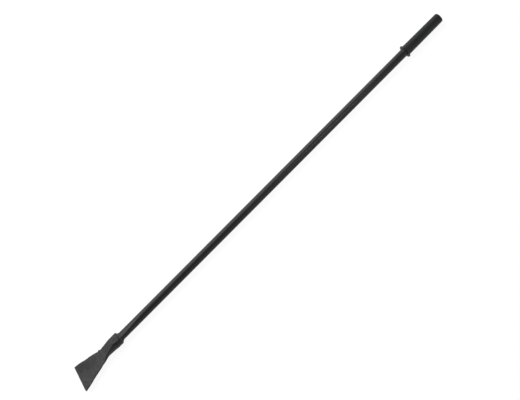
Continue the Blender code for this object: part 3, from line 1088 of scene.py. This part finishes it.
def pale_floor(settings):
    """Pale matt studio floor. What is seen of it is near white and keeps the object's shadow."""
    material, tree = new_material("pale_studio_floor")
    plain = add_node(tree, "ShaderNodeBsdfDiffuse", {"Color": rgba(settings.floor)})
    shadowed = add_node(tree, "ShaderNodeBsdfDiffuse", {"Color": rgba([FLOOR_SHADOW] * 3)})
    glow = add_node(tree, "ShaderNodeEmission", {"Color": rgba(WHITE), "Strength": FLOOR_GLOW})
    shown = add_node(tree, "ShaderNodeAddShader", {0: shadowed, 1: glow})
    floor = add_node(tree, "ShaderNodeMixShader", {0: seen_straight(tree), 1: plain, 2: shown})
    add_node(tree, "ShaderNodeOutputMaterial", {"Surface": floor})
    return material


class ICE_CHOPPER_OT_set_stage(bpy.types.Operator):
    """Sets the floor, the room, the lamps and the camera"""

    bl_idname = "ice_chopper.set_stage"
    bl_label = "Set the Stage"

    def lay_floor(self, s, scene):
        bm = bmesh.new()
        bmesh.ops.create_circle(bm, cap_ends=True, segments=96, radius=FLOOR_RADIUS)
        bm.transform(Matrix.Translation((0, 0, -FLOOR_GAP)))
        mesh = bpy.data.meshes.new("floor")
        bm.to_mesh(mesh)
        bm.free()
        mesh.materials.append(pale_floor(s))
        floor = bpy.data.objects.new("floor", mesh)
        scene.collection.objects.link(floor)

    def light_room(self, scene):
        world = bpy.data.worlds.new("room")
        scene.world = world
        world.use_nodes = True
        tree = world.node_tree
        tree.nodes.clear()
        direction = add_node(tree, "ShaderNodeTexCoord").outputs["Generated"]
        height = add_node(tree, "ShaderNodeSeparateXYZ", {0: direction}).outputs[2]
        inputs = {
            "Value": height,
            "From Min": WALL_TOP,
            "From Max": CEILING_EDGE,
            "To Min": ROOM_WALL,
            "To Max": ROOM_CEILING,
        }
        seen = add_node(tree, RANGE, inputs)
        level = add_node(tree, MIX, {0: seen_straight(tree), 2: ROOM_FILL, 3: seen})
        room = add_node(tree, "ShaderNodeBackground", {"Color": rgba(WHITE), "Strength": level})
        add_node(tree, "ShaderNodeOutputWorld", {"Surface": room})

    def hang_lamps(self, s):
        # Each lamp: where it stands, what it faces, its two sides in metres and its level
        key_side = KEY_DISTANCE * math.cos(KEY_LIFT)
        key_place = (KEY_ALONG, key_side, KEY_DISTANCE * math.sin(KEY_LIFT))
        add_lamp("key_lamp", key_place, (KEY_ALONG, 0.0, 0.0), 4.1, 3.4, s.key_level)
        add_lamp("end_lamp", (-2.2, 1.15, 0.65), (-0.7, 0.0, 0.0), 1.6, 1.0, 0.09)
        add_lamp("front_lamp", (0.55, -1.23, 1.02), (0.28, 0.0, 0.0), 0.5, 0.3, 0.20, spread=60)

    def place_camera(self, s, scene):
        turn = s.camera_turn
        roll = s.camera_roll
        back = Vector((0, -math.sin(turn), math.cos(turn)))
        aside = Vector((0, -math.cos(turn), -math.sin(turn)))
        along = Vector((1, 0, 0))
        right = along * math.cos(roll) + aside * math.sin(roll)
        up = along * math.sin(roll) - aside * math.cos(roll)
        aim = Vector((EDGE_X + s.aim_along, 0, AXIS_HEIGHT)) + aside * s.aim_below
        camera_data = bpy.data.cameras.new("camera")
        camera_data.sensor_width = SENSOR_WIDTH
        camera_data.lens = s.focal_pixels * SENSOR_WIDTH / IMAGE_WIDTH
        camera = bpy.data.objects.new("camera", camera_data)
        scene.collection.objects.link(camera)
        axes = Matrix((right, up, back)).transposed().to_4x4()
        camera.matrix_world = Matrix.Translation(aim + back * s.camera_distance) @ axes
        scene.camera = camera

    def execute(self, context):
        s = context.scene.ice_chopper_stage
        scene = context.scene
        self.lay_floor(s, scene)
        self.light_room(scene)
        self.hang_lamps(s)
        scene.view_settings.view_transform = "Standard"
        self.place_camera(s, scene)
        return {"FINISHED"}


class VIEW3D_PT_ice_chopper(bpy.types.Panel):
    """Lists the pieces of the ice chopper"""

    bl_label = "Ice Chopper"
    bl_space_type = "VIEW_3D"
    bl_region_type = "UI"
    bl_category = "Ice Chopper"

    def draw(self, context):
        for name, operator, _ in PIECES:
            box = self.layout.box()
            settings = getattr(context.scene, name)
            for field in settings.bl_rna.properties:
                if field.identifier not in ("rna_type", "name"):
                    box.prop(settings, field.identifier)
            box.operator(operator.bl_idname)


PIECES = (
    ("ice_chopper_head", ICE_CHOPPER_OT_forge_head, ForgedHeadSettings),
    ("ice_chopper_weld", ICE_CHOPPER_OT_weld_socket, WeldSettings),
    ("ice_chopper_tube", ICE_CHOPPER_OT_draw_tube, TubeSettings),
    ("ice_chopper_grip", ICE_CHOPPER_OT_mould_grip, GripSettings),
    ("ice_chopper_stage", ICE_CHOPPER_OT_set_stage, StageSettings),
)


def register():
    for name, operator, settings in PIECES:
        bpy.utils.register_class(settings)
        bpy.utils.register_class(operator)
        setattr(bpy.types.Scene, name, PointerProperty(type=settings))
    bpy.utils.register_class(VIEW3D_PT_ice_chopper)


def unregister():
    bpy.utils.unregister_class(VIEW3D_PT_ice_chopper)
    for name, operator, settings in reversed(PIECES):
        delattr(bpy.types.Scene, name)
        bpy.utils.unregister_class(operator)
        bpy.utils.unregister_class(settings)


def main():
    register()
    bpy.ops.ice_chopper.forge_head()
    bpy.ops.ice_chopper.weld_socket()
    bpy.ops.ice_chopper.draw_tube()
    bpy.ops.ice_chopper.mould_grip()
    bpy.ops.ice_chopper.set_stage()


if __name__ == "__main__":
    main()
